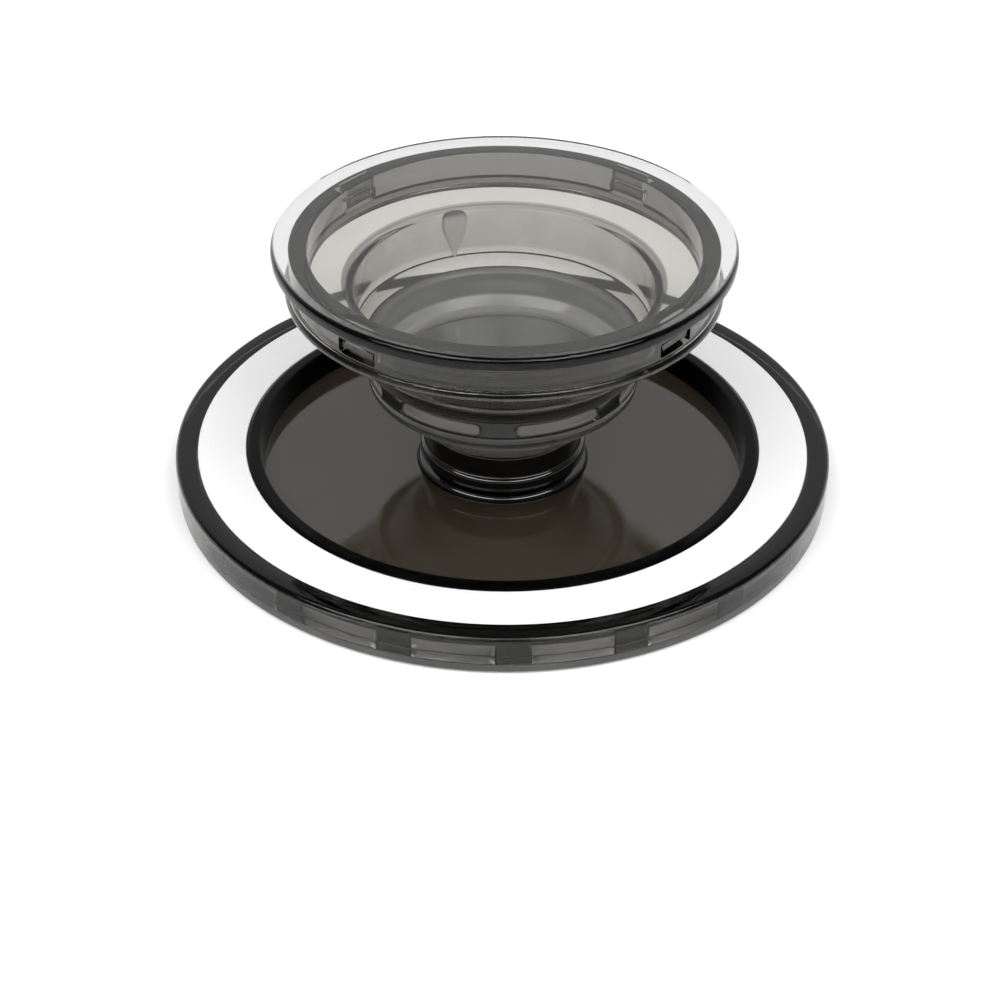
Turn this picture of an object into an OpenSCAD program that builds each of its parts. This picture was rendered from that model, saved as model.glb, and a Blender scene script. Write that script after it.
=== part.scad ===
// Magnetic folding phone grip: a ring magnet base with a shallow well, and a telescoping
// grip of nested soft rings with a clear round top. Millimetres, +Z up, base on z = 0.
// At rest the grip is fully pulled out.

/* [Base] */
// Outer radius of the base
base_radius = 29.5; // [28:0.1:31]
// Height of the rounded outer lip
base_height = 3.7; // [3:0.1:5]
// Rounding of the outer lip
lip_round = 0.9; // [0.5:0.1:1.2]
// Inner radius of the housing's outer wall
housing_inner = 27.7; // [27:0.1:28.5]
// Height of the bottom cover's outer edge
cover_edge_top = 1.0; // [0.8:0.05:1.2]
// Radius of the soft pad underneath
pad_radius = 28.0; // [20:0.5:29]

/* [Magnet ring] */
// Inner radius of the steel ring
steel_inner = 23.17; // [22:0.01:24]
// Outer radius of the steel ring
steel_outer = 27.5; // [26:0.1:28]
// Height of the steel ring's top face
steel_top = 3.6; // [3:0.05:4.5]
// Thickness of the steel ring
steel_thick = 0.65; // [0.4:0.05:1]
// Number of magnet blocks
magnet_count = 18; // [8:1:24]
// Arc of one magnet block in degrees
magnet_arc = 14; // [8:0.5:18]
// Direction of the first magnet block's middle in degrees
magnet_first = 242.1; // [0:0.1:360]
// Top of the magnet blocks
magnet_top = 2.1; // [1.5:0.05:2.9]

/* [Well] */
// Radius of the well at its mouth
well_mouth = 21.88; // [20:0.01:23]
// Radius of the well at its floor
well_foot = 21.6; // [20:0.01:23]
// Height of the well's floor
floor_top = 1.43; // [1:0.01:2]
// Height of the black rim around the well
rim_top = 3.8; // [3:0.05:4.5]

/* [Neck] */
// Radius of the neck where it leaves the floor
neck_foot = 7.7; // [6:0.1:9]
// Radius of the neck above its beads
neck_radius = 7.2; // [6:0.1:8]
// Bore of the neck
neck_bore = 6.2; // [4:0.1:7]
// Height of the neck's top
neck_top = 5.9; // [4:0.1:8]

/* [Lower ring] */
// Outer radius of the lower ring
lower_radius = 12.05; // [11:0.05:13]
// Inner radius of the lower ring above its ledge
lower_inner = 11.1; // [10:0.05:12]
// Inner radius of the lower ring below its ledge
lower_inner_foot = 10.2; // [9.5:0.05:10.8]
// Height of the ledge inside the lower ring
lower_ledge = 10.8; // [10:0.05:13]
// Bottom of the lower ring
lower_bottom = 9.5; // [8:0.1:11]
// Top of the lower ring
lower_top = 13.7; // [12:0.1:15]
// Number of long grooves around the lower ring
groove_count = 7; // [2:1:12]
// Arc of one groove in degrees
groove_arc = 37; // [10:1:40]
// Direction of the first groove's middle in degrees
groove_first = -66.2; // [-90:0.1:90]
// Depth of the grooves
groove_depth = 0.25; // [0.1:0.05:0.6]

/* [Middle ring] */
// Outer radius of the middle ring
middle_radius = 13.6; // [13.3:0.05:15]
// Inner radius of the middle ring at its top
middle_inner = 13.1; // [12.5:0.05:13.5]
// Bottom of the middle ring
middle_bottom = 14.6; // [14:0.1:17]
// Top of the middle ring's inner edge
middle_top = 19.05; // [18:0.05:20]
// Direction of the drop-shaped lug in degrees
lug_angle = 111; // [0:1:360]
// Radius of the lug at its top
lug_radius = 1.0; // [0.5:0.05:1.2]

/* [Collar] */
// Outer radius of the collar
collar_radius = 18.5; // [18:0.1:19.5]
// Inner radius of the collar
collar_inner = 16.9; // [16:0.1:17.5]
// Radius over the bead along the collar's bottom
bead_radius = 19.05; // [18.5:0.05:19.5]
// Bottom of the collar
collar_bottom = 18.95; // [18:0.05:20]
// Height of the bead
bead_height = 0.95; // [0.6:0.05:1.5]
// Width of the four windows
window_width = 4.0; // [2:0.1:6]
// Bottom of the windows
window_bottom = 20.1; // [19.5:0.05:21]
// Top of the windows
window_top = 21.45; // [20.5:0.05:22]
// Direction of the first window in degrees
window_first = -40.3; // [-90:0.1:90]

/* [Top] */
// Radius of the clear disc
disc_radius = 20.0; // [18:0.1:22]
// Underside of the clear disc
disc_bottom = 22.8; // [22:0.05:24]
// Thickness of the clear disc
disc_thick = 1.05; // [0.8:0.05:2]
// Rounding of the disc's edges
disc_round = 0.25; // [0.1:0.05:0.5]

/* [Soft webs] */
// Wall thickness of the thin webs between the rings
web_thick = 0.4; // [0.2:0.05:0.6]
// Height where the middle web leaves the lower ring
middle_web_foot = 12.9; // [11:0.1:13.5]
// Height where the upper web meets the collar
upper_web_top = 19.85; // [19.5:0.05:21]

/* [Fits] */
// Radial clearance of the neck in the floor
neck_clearance = 0.06; // [0.01:0.01:0.1]
// Play of the neck's flange up and down
flange_play = 0.06; // [0.02:0.01:0.1]

/* [Hidden] */
$fn = 96;
cover_top = 0.75;
flange_radius = 9.6;
flange_thick = 0.23;
pocket_height = flange_thick + 2 * flange_play;
steel_bottom = steel_top - steel_thick;
carrier_inner = 22.95;
join_gap = 0.03;
magnet_inner = 23.6;
bead_middle = collar_bottom + bead_height / 2;
skirt_inner = collar_inner + 0.2;
tab_inner = collar_inner + 0.4;
tab_outer = tab_inner + 0.6;
tab_width = window_width - 0.6;

// Which sub-part to draw

// A ring with a rectangular section between two radii and two heights
module ring_band(inner, outer, bottom, top) {
    rotate_extrude()
        translate([inner, bottom])
            square([outer - inner, top - bottom]);
}

// Part of such a ring, centred on a direction
module arc_band(inner, outer, bottom, top, middle, arc) {
    rotate([0, 0, middle - arc / 2])
        rotate_extrude(angle = arc)
            translate([inner, bottom])
                square([outer - inner, top - bottom]);
}

module base_housing() {
    color([0.22, 0.22, 0.22, 0.8])
        rotate_extrude()
            union() {
                translate([housing_inner, cover_edge_top])
                    square([base_radius - housing_inner, base_height - lip_round - cover_edge_top]);
                translate([base_radius - lip_round, base_height - lip_round])
                    circle(r = lip_round);
                translate([steel_outer, steel_bottom])
                    square([base_radius - lip_round - steel_outer, base_height - steel_bottom]);
            }
}

module bottom_cover() {
    color([0.25, 0.25, 0.25])
        rotate_extrude()
            polygon([
                [0, 0.3], [pad_radius, 0.3], [pad_radius, 0.15], [base_radius - 0.25, 0.15],
                [base_radius - 0.1, 0.3], [base_radius - 0.1, cover_edge_top],
                [housing_inner, cover_edge_top], [housing_inner, cover_top], [0, cover_top]
            ]);
}

module contact_pad() {
    color([0.13, 0.13, 0.13])
        cylinder(r = pad_radius, h = 0.3);
}

module magnet_carrier() {
    color([0.09, 0.09, 0.09])
        difference() {
            ring_band(carrier_inner, housing_inner, cover_top, steel_bottom);
            for (i = [0:magnet_count - 1])
                arc_band(magnet_inner, base_radius, 0, magnet_top,
                    magnet_first + i * 360 / magnet_count, magnet_arc);
        }
}

module magnet(i) {
    color([0.62, 0.62, 0.63])
        arc_band(magnet_inner, housing_inner, cover_top, magnet_top,
            magnet_first + i * 360 / magnet_count, magnet_arc);
}

module steel_ring() {
    color([0.88, 0.88, 0.9])
        ring_band(steel_inner, steel_outer, steel_bottom, steel_top);
}

module well_rim() {
    color([0.03, 0.03, 0.03])
        rotate_extrude()
            polygon([
                [well_foot, floor_top], [carrier_inner, floor_top], [carrier_inner, steel_bottom],
                [steel_inner, steel_bottom], [steel_inner, steel_top], [steel_inner - 0.3, rim_top],
                [well_mouth + 0.1, rim_top], [well_mouth, rim_top - 0.1]
            ]);
}

module well_floor() {
    color([0.2, 0.18, 0.16])
        rotate_extrude()
            polygon([
                [neck_foot + neck_clearance, cover_top + pocket_height],
                [flange_radius + 0.15, cover_top + pocket_height],
                [flange_radius + 0.15, cover_top], [carrier_inner, cover_top],
                [carrier_inner, floor_top], [neck_foot + neck_clearance, floor_top]
            ]);
}

// The neck turns in the floor and is held by its flange. Two round beads stand above the floor.
module neck() {
    color([0.04, 0.04, 0.04])
        rotate_extrude()
            union() {
                translate([0, cover_top + flange_play])
                    square([flange_radius, flange_thick]);
                translate([0, cover_top + flange_play])
                    square([neck_foot, floor_top + 0.2 - cover_top - flange_play]);
                translate([neck_foot - 0.4, floor_top + 0.2])
                    circle(r = 0.4);
                translate([neck_foot - 0.85, floor_top + 1.5])
                    circle(r = 0.65);
                translate([neck_bore, floor_top])
                    square([neck_radius - neck_bore, neck_top - floor_top]);
            }
}

module fold_lower() {
    color([0.3, 0.29, 0.28, 0.7])
        rotate_extrude()
            polygon([
                [neck_radius - 0.2 - web_thick, neck_top], [neck_radius - 0.2, neck_top],
                [lower_inner_foot + web_thick, lower_bottom - join_gap],
                [lower_inner_foot, lower_bottom - join_gap]
            ]);
}

module lower_ring() {
    color([0.16, 0.155, 0.15, 0.85])
        difference() {
            rotate_extrude()
                polygon([
                    [lower_inner_foot, lower_bottom], [lower_radius - 0.35, lower_bottom],
                    [lower_radius - 0.1, lower_bottom + 0.4], [lower_radius - 0.1, lower_bottom + 1.2],
                    [lower_radius - 0.25, lower_bottom + 1.4], [lower_radius, lower_bottom + 1.6],
                    [lower_radius, lower_top - 0.2], [lower_radius - 0.2, lower_top],
                    [lower_inner + 0.2, lower_top], [lower_inner, lower_top - 0.2],
                    [lower_inner, lower_ledge + 0.15], [lower_inner - 0.15, lower_ledge],
                    [lower_inner_foot + 0.2, lower_ledge], [lower_inner_foot, lower_ledge - 0.2]
                ]);
            for (i = [0:groove_count - 1])
                arc_band(lower_radius - groove_depth, lower_radius + 1,
                    lower_bottom + 1.7, lower_bottom + 2.9,
                    groove_first + i * 360 / groove_count, groove_arc);
        }
}

module fold_middle() {
    color([0.45, 0.44, 0.42, 0.6])
        rotate_extrude()
            polygon([
                [lower_radius, middle_web_foot - 0.4], [lower_radius + web_thick, middle_web_foot],
                [middle_inner + 0.2, middle_bottom - join_gap],
                [middle_inner + 0.2 - web_thick, middle_bottom - join_gap],
                [lower_radius, middle_web_foot]
            ]);
}

module middle_ring() {
    color([0.42, 0.41, 0.39, 0.6]) {
        rotate_extrude()
            polygon([
                [middle_inner - 0.2, middle_bottom], [middle_radius - 0.2, middle_bottom],
                [middle_radius, middle_bottom + 0.2], [middle_radius, middle_top + 0.23],
                [middle_inner, middle_top], [middle_inner - 0.05, middle_top - 0.15]
            ]);
        intersection() {
            rotate([0, 0, lug_angle])
                translate([middle_inner, 0, middle_bottom + 0.1])
                    union() {
                        cylinder(r1 = 0.15, r2 = lug_radius, h = middle_top - middle_bottom - 0.4);
                        translate([0, 0, middle_top - middle_bottom - 0.4])
                            sphere(r = lug_radius);
                    }
            cylinder(r = middle_inner + 0.3, h = middle_top + 0.5);
        }
    }
}

module fold_upper() {
    color([0.72, 0.72, 0.7, 0.6])
        rotate_extrude()
            polygon([
                [middle_radius, middle_top + 0.23 - web_thick], [middle_radius, middle_top + 0.23],
                [collar_inner - join_gap, upper_web_top],
                [collar_inner - join_gap, upper_web_top - web_thick]
            ]);
}

module collar() {
    color([0.2, 0.2, 0.2, 0.8])
        difference() {
            rotate_extrude()
                union() {
                    translate([collar_inner, upper_web_top - web_thick])
                        square([collar_radius - collar_inner,
                            disc_bottom - upper_web_top + web_thick]);
                    translate([skirt_inner, collar_bottom])
                        square([bead_radius - bead_height / 2 - skirt_inner, bead_height / 2]);
                    translate([skirt_inner, bead_middle])
                        square([collar_radius - skirt_inner, upper_web_top - bead_middle]);
                    translate([bead_radius - bead_height / 2, bead_middle])
                        circle(r = bead_height / 2);
                }
            for (i = [0:3])
                rotate([0, 0, window_first + i * 90]) {
                    translate([tab_inner - 0.05, -window_width / 2, window_bottom])
                        cube([2, window_width, window_top - window_bottom]);
                    translate([tab_inner - 0.05, -tab_width / 2 - 0.05, window_top - 1])
                        cube([tab_outer - tab_inner + 0.1, tab_width + 0.1,
                            disc_bottom - window_top + 2]);
                }
        }
}

module top_disc() {
    color([0.86, 0.87, 0.87, 0.45])
        rotate_extrude()
            polygon([
                [0, disc_bottom], [disc_radius - disc_round, disc_bottom],
                [disc_radius, disc_bottom + disc_round],
                [disc_radius, disc_bottom + disc_thick - disc_round],
                [disc_radius - disc_round, disc_bottom + disc_thick], [0, disc_bottom + disc_thick]
            ]);
}

// Four snap clips under the disc, which hook into the collar's windows
module snap_clips() {
    color([0.1, 0.1, 0.1])
        for (i = [0:3])
            rotate([0, 0, window_first + i * 90])
                union() {
                    translate([tab_inner, -tab_width / 2, window_bottom + 0.45])
                        cube([tab_outer - tab_inner, tab_width, disc_bottom - window_bottom - 0.45]);
                    translate([tab_inner, -tab_width / 2, window_bottom + 0.45])
                        cube([tab_outer - tab_inner + 0.4, tab_width, 0.65]);
                }
}

base_housing();
bottom_cover();
contact_pad();
magnet_carrier();
for (i = [0:magnet_count - 1])
    magnet(i);
steel_ring();
well_rim();
well_floor();
neck();
fold_lower();
lower_ring();
fold_middle();
middle_ring();
fold_upper();
collar();
top_disc();
snap_clips();
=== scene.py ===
"""Magnetic folding phone grip: a smoke-tinted base with a steel ring, a black neck, nested soft rings
and a clear top.

Lengths in the profiles are millimetres in the row frame; MM turns them into metres.
"""

import math

import bmesh
import bpy
from mathutils import Matrix, Vector


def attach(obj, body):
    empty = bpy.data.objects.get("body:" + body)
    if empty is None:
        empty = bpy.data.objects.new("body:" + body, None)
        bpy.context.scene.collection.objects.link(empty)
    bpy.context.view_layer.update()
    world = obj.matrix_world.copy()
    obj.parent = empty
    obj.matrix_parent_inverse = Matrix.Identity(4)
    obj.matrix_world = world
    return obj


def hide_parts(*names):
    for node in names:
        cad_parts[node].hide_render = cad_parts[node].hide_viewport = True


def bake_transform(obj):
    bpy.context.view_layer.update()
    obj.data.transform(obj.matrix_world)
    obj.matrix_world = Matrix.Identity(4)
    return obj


MM = 0.001
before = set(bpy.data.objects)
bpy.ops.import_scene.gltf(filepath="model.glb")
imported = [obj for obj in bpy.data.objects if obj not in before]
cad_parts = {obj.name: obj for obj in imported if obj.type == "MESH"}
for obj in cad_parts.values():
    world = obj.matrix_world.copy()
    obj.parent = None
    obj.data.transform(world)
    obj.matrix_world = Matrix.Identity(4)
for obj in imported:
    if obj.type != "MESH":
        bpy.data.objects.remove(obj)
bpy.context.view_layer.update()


# ---------------------------------------------------------------- shapes


def fillet(points, step=14.0, closed=True):
    """Rounds each corner (r, z, radius) of an outline and returns a dense list of (r, z)."""
    out = []
    n = len(points)
    for i, p in enumerate(points):
        here = Vector(p[:2])
        radius = p[2] if len(p) > 2 else 0.0
        if not closed and i in (0, n - 1):
            radius = 0.0
        before = Vector(points[i - 1][:2]) - here
        after = Vector(points[(i + 1) % n][:2]) - here
        if radius <= 0 or before.length < 1e-9 or after.length < 1e-9:
            out.append(here)
            continue
        a, b = before.normalized(), after.normalized()
        half = a.angle(b) / 2
        if half > math.radians(88) or half < math.radians(2):
            out.append(here)
            continue
        reach = min(radius / math.tan(half), 0.49 * before.length, 0.49 * after.length)
        radius = reach * math.tan(half)
        centre = here + (a + b).normalized() * (radius / math.sin(half))
        start, end = here + a * reach - centre, here + b * reach - centre
        turn = start.angle_signed(end)
        count = max(2, math.ceil(abs(math.degrees(turn)) / step))
        for k in range(count + 1):
            angle = -turn * k / count
            c, s = math.cos(angle), math.sin(angle)
            out.append(centre + Vector((start.x * c - start.y * s, start.x * s + start.y * c)))
    return [(v.x, v.y) for v in out]


def densify(outline, spacing):
    """Adds points so that no stretch of a closed outline is longer than spacing."""
    out = []
    n = len(outline)
    for i, p in enumerate(outline):
        q = outline[(i + 1) % n]
        parts = max(1, math.ceil(math.dist(p, q) / spacing))
        out += [(p[0] + (q[0] - p[0]) * k / parts, p[1] + (q[1] - p[1]) * k / parts) for k in range(parts)]
    return out


def even_angles(count):
    return [360.0 * i / count for i in range(count)]


def new_object(name, bm, smooth_angle=32.0):
    """A mesh object from bm, smooth except at edges sharper than smooth_angle."""
    bmesh.ops.remove_doubles(bm, verts=bm.verts, dist=1e-8)
    bmesh.ops.recalc_face_normals(bm, faces=bm.faces)
    mesh = bpy.data.meshes.new(name)
    bm.to_mesh(mesh)
    bm.free()
    mesh.shade_smooth()
    mesh.set_sharp_from_angle(angle=math.radians(smooth_angle))
    ob = bpy.data.objects.new(name, mesh)
    bpy.context.scene.collection.objects.link(ob)
    return ob


def turned(bm, outline, angles=None, shape=None):
    """Turns a closed outline round Z into bm.

    shape(r, z, angle) may move each point, with r and z in mm and the angle in degrees.
    """
    angles = angles or even_angles(240)
    rings = []
    for a in angles:
        c, s = math.cos(math.radians(a)), math.sin(math.radians(a))
        ring = []
        for r, z in outline:
            if shape:
                r, z = shape(r, z, a)
            ring.append(bm.verts.new((r * c * MM, r * s * MM, z * MM)))
        rings.append(ring)
    n, m = len(outline), len(angles)
    on_axis = [outline[i][0] < 1e-6 for i in range(n)]
    for j in range(m):
        here, there = rings[j], rings[(j + 1) % m]
        for i in range(n):
            k = (i + 1) % n
            if on_axis[i] and on_axis[k]:
                continue
            if on_axis[i]:
                face = (here[i], here[k], there[k])
            elif on_axis[k]:
                face = (here[i], here[k], there[i])
            else:
                face = (here[i], here[k], there[k], there[i])
            bm.faces.new(face)
    return bm


def finish_piece(ob, body, nodes, material):
    ob.data.materials.append(material)
    weighted = ob.modifiers.new("weighted", "WEIGHTED_NORMAL")
    weighted.keep_sharp = True
    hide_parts(*nodes)
    if isinstance(body, str):
        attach(ob, body)
    return ob


def lathe(name, points, body, material, angles=None, shape=None, spacing=None, step=14.0, nodes=None):
    outline = fillet(points, step)
    if spacing:
        outline = densify(outline, spacing)
    ob = new_object(name, turned(bmesh.new(), outline, angles, shape))
    return finish_piece(ob, body, nodes or [name[:-4]], material)


def rounded_box(bm, lo, hi, turn, bevel):
    """A box with rounded edges between two corners in mm, turned round Z by turn degrees."""
    made = bmesh.ops.create_cube(bm, size=1.0)["verts"]
    size = [hi[i] - lo[i] for i in range(3)]
    for v in made:
        v.co = Vector([(lo[i] + hi[i]) / 2 + v.co[i] * size[i] for i in range(3)])
    edges = list({e for v in made for e in v.link_edges})
    bevelled = bmesh.ops.bevel(bm, geom=edges, offset=bevel, segments=3, affect="EDGES", profile=0.5)
    moved = {v for f in bevelled["faces"] for v in f.verts} | {v for v in made if v.is_valid}
    spin = Matrix.Rotation(math.radians(turn), 3, "Z")
    for v in moved:
        v.co = spin @ v.co * MM
    return bm


# ---------------------------------------------------------------- materials


def node(nt, kind, **inputs):
    made = nt.nodes.new(kind)
    for key, value in inputs.items():
        name = key.replace("_", " ")
        if name in made.inputs:
            made.inputs[name].default_value = value
        else:
            setattr(made, key, value)
    return made


def start_material(name):
    m = bpy.data.materials.new(name)
    m.use_nodes = True
    nt = m.node_tree
    return m, nt, nt.nodes["Principled BSDF"], nt.nodes["Material Output"]


def object_place(nt):
    return nt.nodes.new("ShaderNodeTexCoord").outputs["Object"]


def noise(nt, place, scale, detail=4.0, rough=0.55):
    n = node(nt, "ShaderNodeTexNoise", Scale=scale, Detail=detail, Roughness=rough)
    nt.links.new(place, n.inputs["Vector"])
    return n.outputs["Fac"]


def spread(nt, value, low, high, from_low=0.3, from_high=0.7):
    """Maps a 0-1 pattern to a range of values."""
    r = nt.nodes.new("ShaderNodeMapRange")
    r.inputs["From Min"].default_value = from_low
    r.inputs["From Max"].default_value = from_high
    r.inputs["To Min"].default_value = low
    r.inputs["To Max"].default_value = high
    nt.links.new(value, r.inputs["Value"])
    return r.outputs["Result"]


def two_tones(nt, value, first, second, low=0.35, high=0.65):
    ramp = nt.nodes.new("ShaderNodeValToRGB")
    ramp.color_ramp.elements[0].position = low
    ramp.color_ramp.elements[0].color = (*first, 1)
    ramp.color_ramp.elements[1].position = high
    ramp.color_ramp.elements[1].color = (*second, 1)
    nt.links.new(value, ramp.inputs["Fac"])
    return ramp.outputs["Color"]


def bump(nt, value, bsdf, strength, distance):
    b = node(nt, "ShaderNodeBump", Strength=strength, Distance=distance)
    nt.links.new(value, b.inputs["Height"])
    nt.links.new(b.outputs["Normal"], bsdf.inputs["Normal"])


def clear_material(name, tint, density, rough_low, rough_high, ior, skin=(1, 1, 1), clear=1.0, glare=1.0):
    """See-through plastic: a faintly wavy surface with handling marks, tinted by its own depth."""
    m, nt, bsdf, out = start_material(name)
    place = object_place(nt)
    bsdf.inputs["Transmission Weight"].default_value = clear
    bsdf.inputs["IOR"].default_value = ior
    bsdf.inputs["Specular Tint"].default_value = (glare, glare, glare, 1)
    marks = noise(nt, place, 420.0, 3.0, 0.5)
    nt.links.new(two_tones(nt, marks, tuple(0.985 * c for c in skin), skin), bsdf.inputs["Base Color"])
    nt.links.new(spread(nt, marks, rough_low, rough_high), bsdf.inputs["Roughness"])
    bump(nt, noise(nt, place, 130.0, 2.0), bsdf, 0.01, 0.0004)
    depth = node(nt, "ShaderNodeVolumeAbsorption", Density=density)
    depth.inputs["Color"].default_value = (*tint, 1)
    nt.links.new(depth.outputs["Volume"], out.inputs["Volume"])
    return m


def gloss_material(name, first, second, rough_low, rough_high, waves, shine=0.5):
    """Polished opaque plastic with faint smears and a slightly wavy surface."""
    m, nt, bsdf, out = start_material(name)
    place = object_place(nt)
    smears = noise(nt, place, 260.0, 3.0, 0.5)
    nt.links.new(two_tones(nt, smears, first, second), bsdf.inputs["Base Color"])
    nt.links.new(spread(nt, smears, rough_low, rough_high), bsdf.inputs["Roughness"])
    bump(nt, noise(nt, place, 180.0, 2.0), bsdf, waves, 0.0003)
    bsdf.inputs["IOR"].default_value = 1.5
    bsdf.inputs["Specular IOR Level"].default_value = shine
    return m


def matt_material(name, first, second, grain_scale, depth):
    m, nt, bsdf, out = start_material(name)
    place = object_place(nt)
    grain = noise(nt, place, grain_scale, 6.0, 0.6)
    nt.links.new(two_tones(nt, grain, first, second), bsdf.inputs["Base Color"])
    nt.links.new(spread(nt, grain, 0.55, 0.75), bsdf.inputs["Roughness"])
    bump(nt, grain, bsdf, 0.5, depth)
    return m


def turned_metal(name, tone_a, tone_b, rough_low, rough_high, line_scale, metal=1.0):
    """Bright metal with very fine circular finishing lines round Z."""
    m, nt, bsdf, out = start_material(name)
    place = object_place(nt)
    flat = node(nt, "ShaderNodeVectorMath", operation="MULTIPLY")
    nt.links.new(place, flat.inputs[0])
    flat.inputs[1].default_value = (1, 1, 0)
    radius = node(nt, "ShaderNodeVectorMath", operation="LENGTH")
    nt.links.new(flat.outputs["Vector"], radius.inputs[0])
    lines = node(nt, "ShaderNodeTexNoise", noise_dimensions="1D", Scale=line_scale, Detail=3.0)
    nt.links.new(radius.outputs["Value"], lines.inputs["W"])
    clouds = noise(nt, place, 90.0, 3.0)
    both = node(nt, "ShaderNodeMath", operation="MULTIPLY")
    nt.links.new(lines.outputs["Fac"], both.inputs[0])
    nt.links.new(clouds, both.inputs[1])
    nt.links.new(two_tones(nt, both.outputs["Value"], tone_a, tone_b, 0.1, 0.4), bsdf.inputs["Base Color"])
    nt.links.new(spread(nt, both.outputs["Value"], rough_low, rough_high, 0.1, 0.4), bsdf.inputs["Roughness"])
    bsdf.inputs["Metallic"].default_value = metal
    bump(nt, lines.outputs["Fac"], bsdf, 0.12, 0.00001)
    return m


def polished(m, ior):
    """Adds a clear glossy skin, so that edges catch the light."""
    bsdf = m.node_tree.nodes["Principled BSDF"]
    bsdf.inputs["Coat Weight"].default_value = 0.35
    bsdf.inputs["Coat IOR"].default_value = ior
    bsdf.inputs["Coat Roughness"].default_value = 0.06
    return m


def paint_light_and_shade_along(m, way, low, high, stops):
    """Paints light and shade into a surface's colour by its radius or height in mm, with uneven borders."""
    nt = m.node_tree
    bsdf = nt.nodes["Principled BSDF"]
    if way == "radius":
        flat = node(nt, "ShaderNodeVectorMath", operation="MULTIPLY")
        nt.links.new(object_place(nt), flat.inputs[0])
        flat.inputs[1].default_value = (1, 1, 0)
        length = node(nt, "ShaderNodeVectorMath", operation="LENGTH")
        nt.links.new(flat.outputs["Vector"], length.inputs[0])
        value = length.outputs["Value"]
    else:
        parts = nt.nodes.new("ShaderNodeSeparateXYZ")
        nt.links.new(object_place(nt), parts.inputs[0])
        value = parts.outputs["Z"]
    uneven_border = node(nt, "ShaderNodeMath", operation="MULTIPLY_ADD")
    nt.links.new(noise(nt, object_place(nt), 300.0, 3.0), uneven_border.inputs[0])
    uneven_border.inputs[1].default_value = 0.02
    nt.links.new(spread(nt, value, -0.01, 0.99, low * MM, high * MM), uneven_border.inputs[2])
    # the ramp's stops hold the painted light and shade
    ramp = nt.nodes.new("ShaderNodeValToRGB")
    for i, (place, tone) in enumerate(stops):
        at = (place - low) / (high - low)
        stop = ramp.color_ramp.elements[i] if i < 2 else ramp.color_ramp.elements.new(at)
        stop.position = at
        stop.color = (*tone, 1)
    nt.links.new(uneven_border.outputs["Value"], ramp.inputs["Fac"])
    nt.links.new(ramp.outputs["Color"], bsdf.inputs["Base Color"])
    return m


# The shell's colour turns near black over the top of the lip: painted shade.
smoky_shell = paint_light_and_shade_along(
    clear_material("smoky_shell", (0.12, 0.11, 0.09), 440, 0.0, 0.03, 1.48, glare=0.7),
    "height", 1.0, 3.8,
    [(1.0, (0.97, 0.96, 0.94)), (3.25, (0.95, 0.94, 0.92)), (3.4, (0.05, 0.05, 0.048))],
)
smoky_collar = polished(
    clear_material("smoky_collar", (0.13, 0.115, 0.08), 900, 0.0, 0.03, 1.42, (0.98, 0.97, 0.94), glare=0.9),
    1.6,
)
# The soft rings' colour is painted lighter at the middle fold's inner edge and out on the upper web, and
# darker on the middle ring's outer wall and the web's foot, where the collar shades them: painted light and
# shade.
smoky_soft = paint_light_and_shade_along(
    clear_material("smoky_soft", (0.5, 0.475, 0.4), 1150, 0.02, 0.08, 1.3),
    "radius", 12.0, 17.0,
    [(12.5, (0.9, 0.885, 0.85)), (12.8, (0.67, 0.655, 0.62)), (13.55, (0.67, 0.655, 0.62)),
     (13.64, (0.36, 0.355, 0.34)), (14.05, (0.36, 0.355, 0.34)), (14.15, (0.94, 0.925, 0.89))],
)
# The lower ring's colour is painted near white on its inner ledge as a highlight, lighter on the groove
# floors as a glint, and near black on its outer wall as the shade under the collar.
smoky_thick = paint_light_and_shade_along(
    clear_material("smoky_thick", (0.3, 0.29, 0.26), 300, 0.02, 0.08, 1.45, clear=0.45),
    "radius", 10.0, 12.5,
    [(10.98, (0.98, 0.97, 0.93)), (11.08, (0.62, 0.61, 0.59)), (11.6, (0.5, 0.49, 0.475)),
     (11.9, (0.2, 0.196, 0.19)), (11.98, (0.03, 0.0295, 0.028))],
)
smoky_haze = clear_material("smoky_haze", (0.5, 0.48, 0.43), 700, 0.1, 0.2, 1.3, (0.48, 0.47, 0.45), 0.6)
smoky_clip = clear_material("smoky_clip", (0.1, 0.09, 0.08), 1600, 0.0, 0.04, 1.4, (0.9, 0.89, 0.87))
clear_lug = clear_material("clear_lug", (0.6, 0.58, 0.54), 60, 0.25, 0.35, 1.2, (1, 0.995, 0.985), 0.85)
clear_top = clear_material("clear_top", (0.5, 0.5, 0.495), 420, 0.0, 0.01, 1.49, glare=0.6)
black_gloss = gloss_material("black_gloss", (0.0004,) * 3, (0.0009,) * 3, 0.04, 0.09, 0.01, 1.0)
rim_gloss = gloss_material("rim_gloss", (0.0004,) * 3, (0.0012, 0.0012, 0.0011), 0.1, 0.18, 0.01, 0.1)
brown_gloss = gloss_material(
    "brown_gloss", (0.027, 0.0215, 0.0135), (0.033, 0.0265, 0.017), 0.06, 0.12, 0.01, 1.0
)
cover_gloss = gloss_material("cover_gloss", (0.055, 0.054, 0.052), (0.075, 0.074, 0.071), 0.12, 0.22, 0.02)
carrier_matt = matt_material("carrier_matt", (0.11, 0.11, 0.108), (0.15, 0.15, 0.147), 600.0, 0.000004)
pad_soft = matt_material("pad_soft", (0.022, 0.022, 0.023), (0.034, 0.034, 0.035), 1500.0, 0.00004)
steel_bright = turned_metal("steel_bright", (0.96, 0.96, 0.96), (1.0, 1.0, 1.0), 0.42, 0.55, 9000.0, 0.05)
magnet_plate = turned_metal("magnet_plate", (0.5, 0.5, 0.5), (0.7, 0.7, 0.69), 0.25, 0.38, 2500.0, 0.7)


# ---------------------------------------------------------------- base

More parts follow.
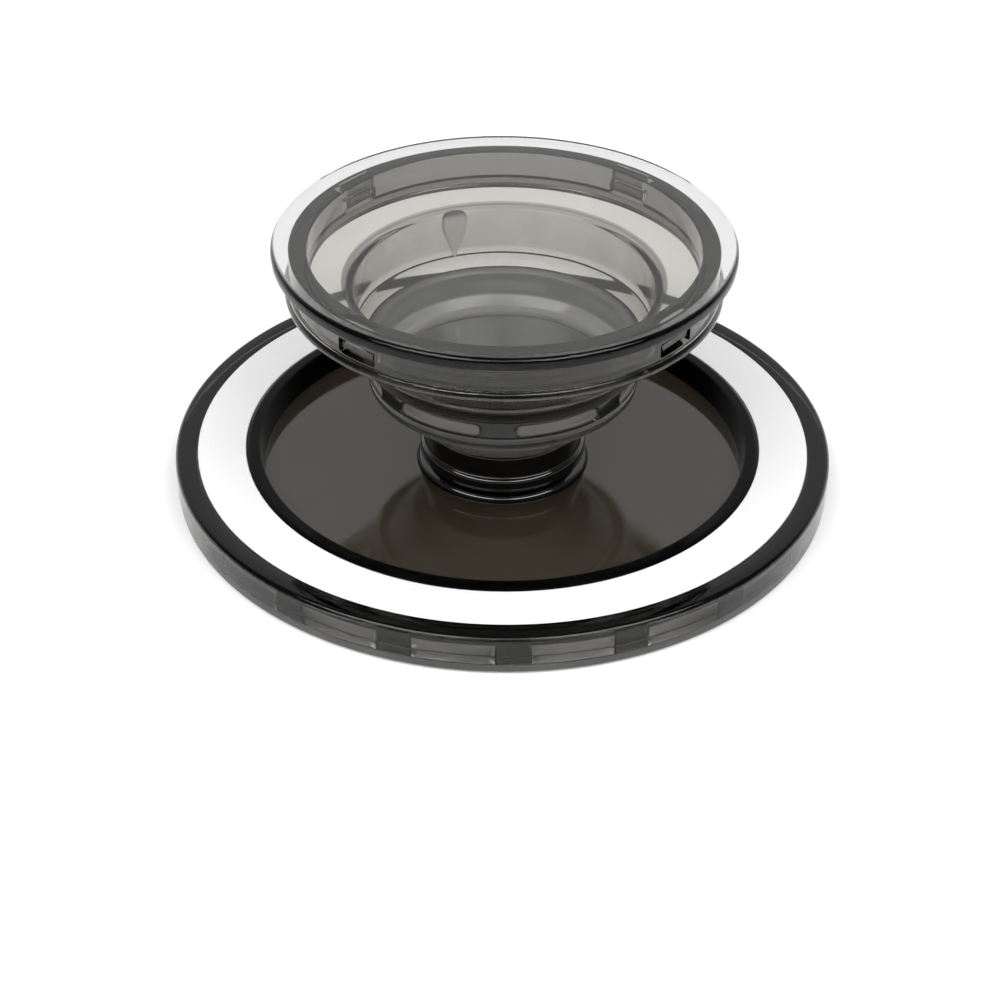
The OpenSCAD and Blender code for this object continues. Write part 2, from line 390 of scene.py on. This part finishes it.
lathe(
    "base_housing_vis",
    [(27.7, 1.0, 0.04), (29.5, 1.0, 0.12), (29.5, 3.68, 0.9), (28.5, 3.7, 0.6), (27.5, 3.62, 0.12),
     (27.5, 2.96, 0.03), (27.7, 2.8, 0.03)],
    "base", smoky_shell, step=9.0,
)
lathe(
    "bottom_cover_vis",
    [(0, 0.3), (28.0, 0.3, 0.02), (28.0, 0.15, 0.03), (29.4, 0.15, 0.14), (29.4, 0.98, 0.08),
     (27.72, 0.98, 0.03), (27.72, 0.74, 0.03), (0, 0.74)],
    "base", cover_gloss, step=12.0,
)
lathe(
    "contact_pad_vis",
    [(0, 0.0), (22.4, 0.0, 0.03), (22.55, 0.06, 0.03), (22.75, 0.06, 0.03), (22.9, 0.0, 0.03),
     (27.97, 0.0, 0.12), (27.97, 0.295, 0.02), (0, 0.295)],
    "base", pad_soft,
)
lathe(
    "steel_ring_vis",
    [(23.19, 2.96, 0.05), (27.48, 2.96, 0.05), (27.48, 3.6, 0.07), (23.19, 3.6, 0.07)],
    "base", steel_bright,
)
lathe(
    "well_rim_vis",
    [(21.62, 1.44, 0.02), (22.94, 1.44), (22.94, 2.94), (23.17, 2.94), (23.17, 3.62, 0.05),
     (22.82, 3.8, 0.16), (21.9, 3.8, 0.2)],
    "base", rim_gloss, step=9.0,
)
lathe(
    "well_floor_vis",
    [(7.76, 1.1, 0.03), (9.75, 1.1, 0.03), (9.75, 0.76, 0.03), (22.9, 0.76), (22.9, 1.43),
     (7.76, 1.43, 0.06)],
    "base", brown_gloss,
)

COUNT, FIRST, ARC = 18, 242.1, 14.0
pocket_edges = []
for i in range(COUNT):
    middle = FIRST + i * 360 / COUNT
    for side in (-1, 1):
        pocket_edges += [(middle + side * (ARC / 2 + 0.25)) % 360, (middle + side * (ARC / 2 + 0.18)) % 360]
carrier_angles = sorted(pocket_edges + [a + 0.5 for a in range(0, 360, 2)])


def in_pocket(angle):
    away = (angle - FIRST + 180 / COUNT) % (360 / COUNT) - 180 / COUNT
    return abs(away) < ARC / 2 + 0.2


def pockets(r, z, angle):
    """Draws the carrier's outer wall in behind each magnet, under its roof."""
    return (23.55, z) if z < 2.11 and r > 23.55 and in_pocket(angle) else (r, z)


lathe(
    "magnet_carrier_vis",
    [(22.96, 0.76), (27.66, 0.76), (27.66, 2.105), (27.66, 2.125), (27.66, 2.93, 0.05), (22.96, 2.94)],
    "base", carrier_matt, angles=carrier_angles, shape=pockets,
)
for i in range(COUNT):
    middle = math.radians(FIRST + i * 360 / COUNT)
    bm = bmesh.new()
    turned_part = []
    for k in range(13):
        a = middle + math.radians(ARC * (k / 12 - 0.5))
        turned_part.append([
            bm.verts.new((r * math.cos(a) * MM, r * math.sin(a) * MM, z * MM))
            for r, z in ((23.65, 0.77), (27.64, 0.77), (27.64, 2.09), (23.65, 2.09))
        ])
    for here, there in zip(turned_part, turned_part[1:]):
        for c in range(4):
            bm.faces.new((here[c], here[(c + 1) % 4], there[(c + 1) % 4], there[c]))
    bm.faces.new(turned_part[0])
    bm.faces.new(turned_part[-1])
    bmesh.ops.recalc_face_normals(bm, faces=bm.faces)
    sharp = [e for e in bm.edges if len(e.link_faces) == 2 and e.calc_face_angle(0) > 0.9]
    bmesh.ops.bevel(bm, geom=sharp, offset=0.12 * MM, segments=2, affect="EDGES", profile=0.5)
    name = f"magnet_{i + 1:02d}"
    finish_piece(new_object(name + "_vis", bm), "base", [name], magnet_plate)


# ---------------------------------------------------------------- neck

lathe(
    "neck_vis",
    [(0, 0.82), (9.58, 0.82, 0.04), (9.58, 1.03, 0.04), (7.7, 1.03, 0.02), (7.7, 1.75, 0.45),
     (6.95, 2.12, 0.12), (6.95, 2.25, 0.12), (7.5, 2.5, 0.4), (7.5, 3.45, 0.6), (7.1, 3.75, 0.25),
     (7.2, 5.9, 0.3), (6.2, 5.9, 0.2), (6.2, 1.8, 0.3), (0, 1.8)],
    "neck", black_gloss, step=9.0,
)


# ---------------------------------------------------------------- soft rings

GROOVES, GROOVE_ARC, GROOVE_START = 7, 37.0, -66.2


def ease(x):
    x = min(1.0, max(0.0, x))
    return x * x * (3 - 2 * x)


def grooves(r, z, angle):
    """Presses long grooves with rounded ends into the lower ring's outer wall."""
    if r < 11.6 or not 11.0 < z < 12.6:
        return r, z
    away = abs((angle - GROOVE_START + 180 / GROOVES) % (360 / GROOVES) - 180 / GROOVES)
    along = (GROOVE_ARC / 2 - away) * math.radians(1) * 12.05
    up = 0.6 - abs(z - 11.8)
    edge = min(along, up)
    if along < 0.5 and up < 0.5:
        edge = 0.5 - math.hypot(0.5 - along, 0.5 - up)
    return r - 0.25 * ease(edge / 0.16 + 0.2), z


def soft_skin(name, points, nodes, material, angles=None, shape=None):
    """One moulded soft piece turned from its outline, attached to no body, with its placement baked into the
    mesh.
    """
    outline = densify(fillet(points, 9.0), 0.14)
    ob = new_object(name, turned(bmesh.new(), outline, angles, shape))
    finish_piece(ob, None, nodes, material)
    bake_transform(ob)
    return ob


soft_skin(
    "fold_lower_vis",
    [(6.62, 5.92, 0.1), (7.02, 5.92, 0.1), (8.2, 6.6, 1.5), (10.6, 9.47, 0.1), (10.2, 9.47, 0.1),
     (7.9, 7.0, 1.5)],
    ["fold_lower"], smoky_haze,
)
soft_skin(
    "lower_ring_vis",
    [(10.2, 9.5, 0.1), (11.4, 9.5, 0.3), (11.95, 10.0, 0.5), (11.95, 10.65, 0.4), (11.8, 10.92, 0.1),
     (12.05, 11.1, 0.12), (12.05, 12.85, 0.3), (12.2, 13.1, 0.2), (12.2, 13.68, 0.1), (11.1, 13.7, 0.3),
     (11.1, 11.35, 0.4), (10.4, 10.75, 0.2), (10.2, 10.6, 0.15)],
    ["lower_ring"], smoky_thick, even_angles(576), grooves,
)
soft_skin(
    "fold_middle_vis",
    [(12.06, 12.87, 0.03), (12.25, 12.8, 0.1), (12.5, 12.98, 0.3), (13.3, 14.575, 0.02),
     (12.93, 14.575, 0.02), (12.23, 13.2, 0.1), (12.23, 13.05, 0.05)],
    ["fold_middle"], smoky_soft, even_angles(288),
)
soft_skin(
    "middle_ring_vis",
    [(12.93, 14.6, 0.02), (13.3, 14.6, 0.02), (13.6, 15.1, 0.5), (13.6, 18.93, 0.35), (16.86, 19.5, 0.05),
     (16.86, 19.84, 0.05), (13.7, 19.25, 0.9), (13.1, 18.9, 0.6)],
    ["middle_ring", "fold_upper"], smoky_soft,
    even_angles(288),
)

# drop-shaped lug on the inner wall of the middle ring
bm = bmesh.new()
lug = fillet([(0, 14.75), (0.14, 14.75, 0.06), (1.2, 17.7, 2.4), (1.1, 19.2, 0.7), (0, 19.25)], 9.0)
turned(bm, lug, even_angles(48))
flatten = Matrix.Diagonal((0.72, 1, 1, 1))
spin = Matrix.Rotation(math.radians(111), 4, "Z") @ Matrix.Translation((12.8 * MM, 0, 0)) @ flatten
bmesh.ops.transform(bm, matrix=spin, verts=bm.verts)
lug_piece = new_object("middle_ring_lug_vis", bm)
lug_piece.data.materials.append(clear_lug)
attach(lug_piece, "middle")


# ---------------------------------------------------------------- collar and clear top

WINDOW = -40.3
bm = turned(
    bmesh.new(),
    fillet([(16.9, 19.5, 0.15), (17.1, 19.45, 0.08), (17.1, 18.97, 0.3), (18.6, 18.95, 0.4),
            (19.05, 19.42, 0.42), (18.75, 19.9, 0.3), (18.5, 19.95, 0.15), (18.5, 22.78, 0.15),
            (16.9, 22.78, 0.25)], 10.0),
    even_angles(288),
)
collar = new_object("collar_vis", bm)
bm = bmesh.new()
for i in range(4):
    rounded_box(bm, (17.25, -2.0, 20.1), (19.6, 2.0, 21.45), WINDOW + 90 * i, 0.12)
windows = new_object("collar_windows", bm)
bm = bmesh.new()
for i in range(4):
    rounded_box(bm, (17.25, -1.75, 20.9), (17.95, 1.75, 23.4), WINDOW + 90 * i, 0.05)
channels = new_object("collar_channels", bm)
for cutter in (windows, channels):
    cut = collar.modifiers.new("cut", "BOOLEAN")
    cut.operation, cut.solver, cut.object = "DIFFERENCE", "EXACT", cutter
bpy.context.view_layer.update()
cut_mesh = bpy.data.meshes.new_from_object(collar.evaluated_get(bpy.context.evaluated_depsgraph_get()))
collar.modifiers.clear()
collar.data = cut_mesh
cut_mesh.set_sharp_from_angle(angle=math.radians(32))
for cutter in (windows, channels):
    bpy.data.objects.remove(cutter)
finish_piece(collar, "grip_head", ["collar"], smoky_collar)

lathe(
    "top_disc_vis",
    [(0, 22.8), (20.0, 22.8, 0.18), (20.0, 23.85, 0.7), (0, 23.85)],
    "grip_head", clear_top, angles=even_angles(288), step=9.0,
)
bm = bmesh.new()
for i in range(4):
    rounded_box(bm, (17.3, -1.7, 20.55), (17.9, 1.7, 22.795), WINDOW + 90 * i, 0.08)
    rounded_box(bm, (17.92, -1.7, 20.55), (18.3, 1.7, 21.2), WINDOW + 90 * i, 0.1)
finish_piece(new_object("snap_clips_vis", bm), "grip_head", ["snap_clips"], smoky_clip)


# ---------------------------------------------------------------- stage, light, camera

floor_mesh = bpy.data.meshes.new("floor")
reach, drop = 3.0, -0.05 * MM
corners = [(-reach, -reach, drop), (reach, -reach, drop), (reach, reach, drop), (-reach, reach, drop)]
floor_mesh.from_pydata(corners, [], [(0, 1, 2, 3)])
floor = bpy.data.objects.new("floor", floor_mesh)
bpy.context.scene.collection.objects.link(floor)
m, nt, bsdf, out = start_material("floor_pale")
pale = two_tones(nt, noise(nt, object_place(nt), 6.0), (0.75, 0.75, 0.75), (0.76, 0.76, 0.76))
nt.links.new(pale, bsdf.inputs["Base Color"])
nt.links.new(pale, bsdf.inputs["Emission Color"])
bsdf.inputs["Emission Strength"].default_value = 0.4
bsdf.inputs["Roughness"].default_value = 0.9
bsdf.inputs["Specular IOR Level"].default_value = 0.05
one_sided = nt.nodes.new("ShaderNodeMixShader")
nt.links.new(nt.nodes.new("ShaderNodeNewGeometry").outputs["Backfacing"], one_sided.inputs[0])
nt.links.new(bsdf.outputs["BSDF"], one_sided.inputs[1])
nt.links.new(nt.nodes.new("ShaderNodeBsdfTransparent").outputs["BSDF"], one_sided.inputs[2])
nt.links.new(one_sided.outputs["Shader"], out.inputs["Surface"])
floor_mesh.materials.append(m)

world = bpy.data.worlds.new("studio")
bpy.context.scene.world = world
world.use_nodes = True
nt = world.node_tree
sky = nt.nodes["Background"]
sky.inputs["Color"].default_value = (1, 1, 1, 1)
direction = nt.nodes.new("ShaderNodeTexCoord").outputs["Generated"]
part = nt.nodes.new("ShaderNodeSeparateXYZ")
nt.links.new(direction, part.inputs[0])


def world_math(operation, a, b=0.0, c=0.0):
    made = node(nt, "ShaderNodeMath", operation=operation)
    for i, value in enumerate((a, b, c)):
        if isinstance(value, (int, float)):
            made.inputs[i].default_value = value
        else:
            nt.links.new(value, made.inputs[i])
    return made.outputs[0]


def soft_step(value, low, high):
    """0 below low, 1 above high, smooth between."""
    r = node(nt, "ShaderNodeMapRange", interpolation_type="SMOOTHSTEP")
    r.inputs["From Min"].default_value, r.inputs["From Max"].default_value = low, high
    nt.links.new(value, r.inputs["Value"])
    return r.outputs["Result"]


# a pair of wide soft boxes high in front, a dim room, a softer patch at the back, a pale band along
# the horizon, and fill light from below for views of the underside
height = part.outputs["Z"]
sideways = world_math("ARCTAN2", part.outputs["X"], world_math("MULTIPLY", part.outputs["Y"], -1.0))
aside = world_math("ABSOLUTE", sideways)
wide = world_math("SUBTRACT", 1.0, soft_step(aside, 1.35, 1.45))
pair = world_math("MULTIPLY_ADD", soft_step(aside, 0.1, 0.4), 0.6, 0.4)
above = world_math("MULTIPLY", soft_step(height, 0.66, 0.7), pair)
below_top = world_math("SUBTRACT", 1.0, soft_step(height, 0.92, 0.94))
box = world_math("MULTIPLY", world_math("MULTIPLY", above, wide), below_top)
horizon = world_math("SUBTRACT", 1.0, soft_step(world_math("ABSOLUTE", height), 0.05, 0.25))
low = world_math("SUBTRACT", 1.0, soft_step(height, 0.75, 0.9))
behind = world_math("MULTIPLY", soft_step(aside, 1.9, 2.3), low)
room = world_math("MULTIPLY_ADD", horizon, 0.5, 0.12)
room = world_math("MULTIPLY_ADD", behind, 0.5, room)
under = world_math("SUBTRACT", 1.0, soft_step(height, -0.3, -0.05))
room = world_math("MULTIPLY_ADD", under, 0.7, room)
light = world_math("MULTIPLY_ADD", box, 6.0, room)
nt.links.new(light, sky.inputs["Strength"])


scene = bpy.context.scene
scene.view_settings.view_transform = "Standard"
scene.cycles.max_bounces = 24
scene.cycles.transmission_bounces = 24
scene.cycles.glossy_bounces = 8
scene.cycles.transparent_max_bounces = 16

ELEVATION, ROLL = math.radians(35.41), math.radians(0.6)
DISTANCE, SIDE, LIFT = 194.9, -0.24, -5.94
forward = Vector((0, math.cos(ELEVATION), -math.sin(ELEVATION)))
up = Vector((0, math.sin(ELEVATION), math.cos(ELEVATION)))
right = Vector((1, 0, 0))
cam_right = math.cos(ROLL) * right + math.sin(ROLL) * up
cam_up = -math.sin(ROLL) * right + math.cos(ROLL) * up
cam_data = bpy.data.cameras.new("camera")
cam = bpy.data.objects.new("camera", cam_data)
scene.collection.objects.link(cam)
place = (-forward * DISTANCE + SIDE * cam_right + LIFT * cam_up + Vector((0, 0, 3.6))) * MM
pose = Matrix((cam_right, cam_up, -forward)).transposed().to_4x4()
pose.translation = place
cam.matrix_world = pose
cam_data.sensor_width = 36
cam_data.lens = 77.24
cam_data.clip_start = 0.01
scene.camera = cam
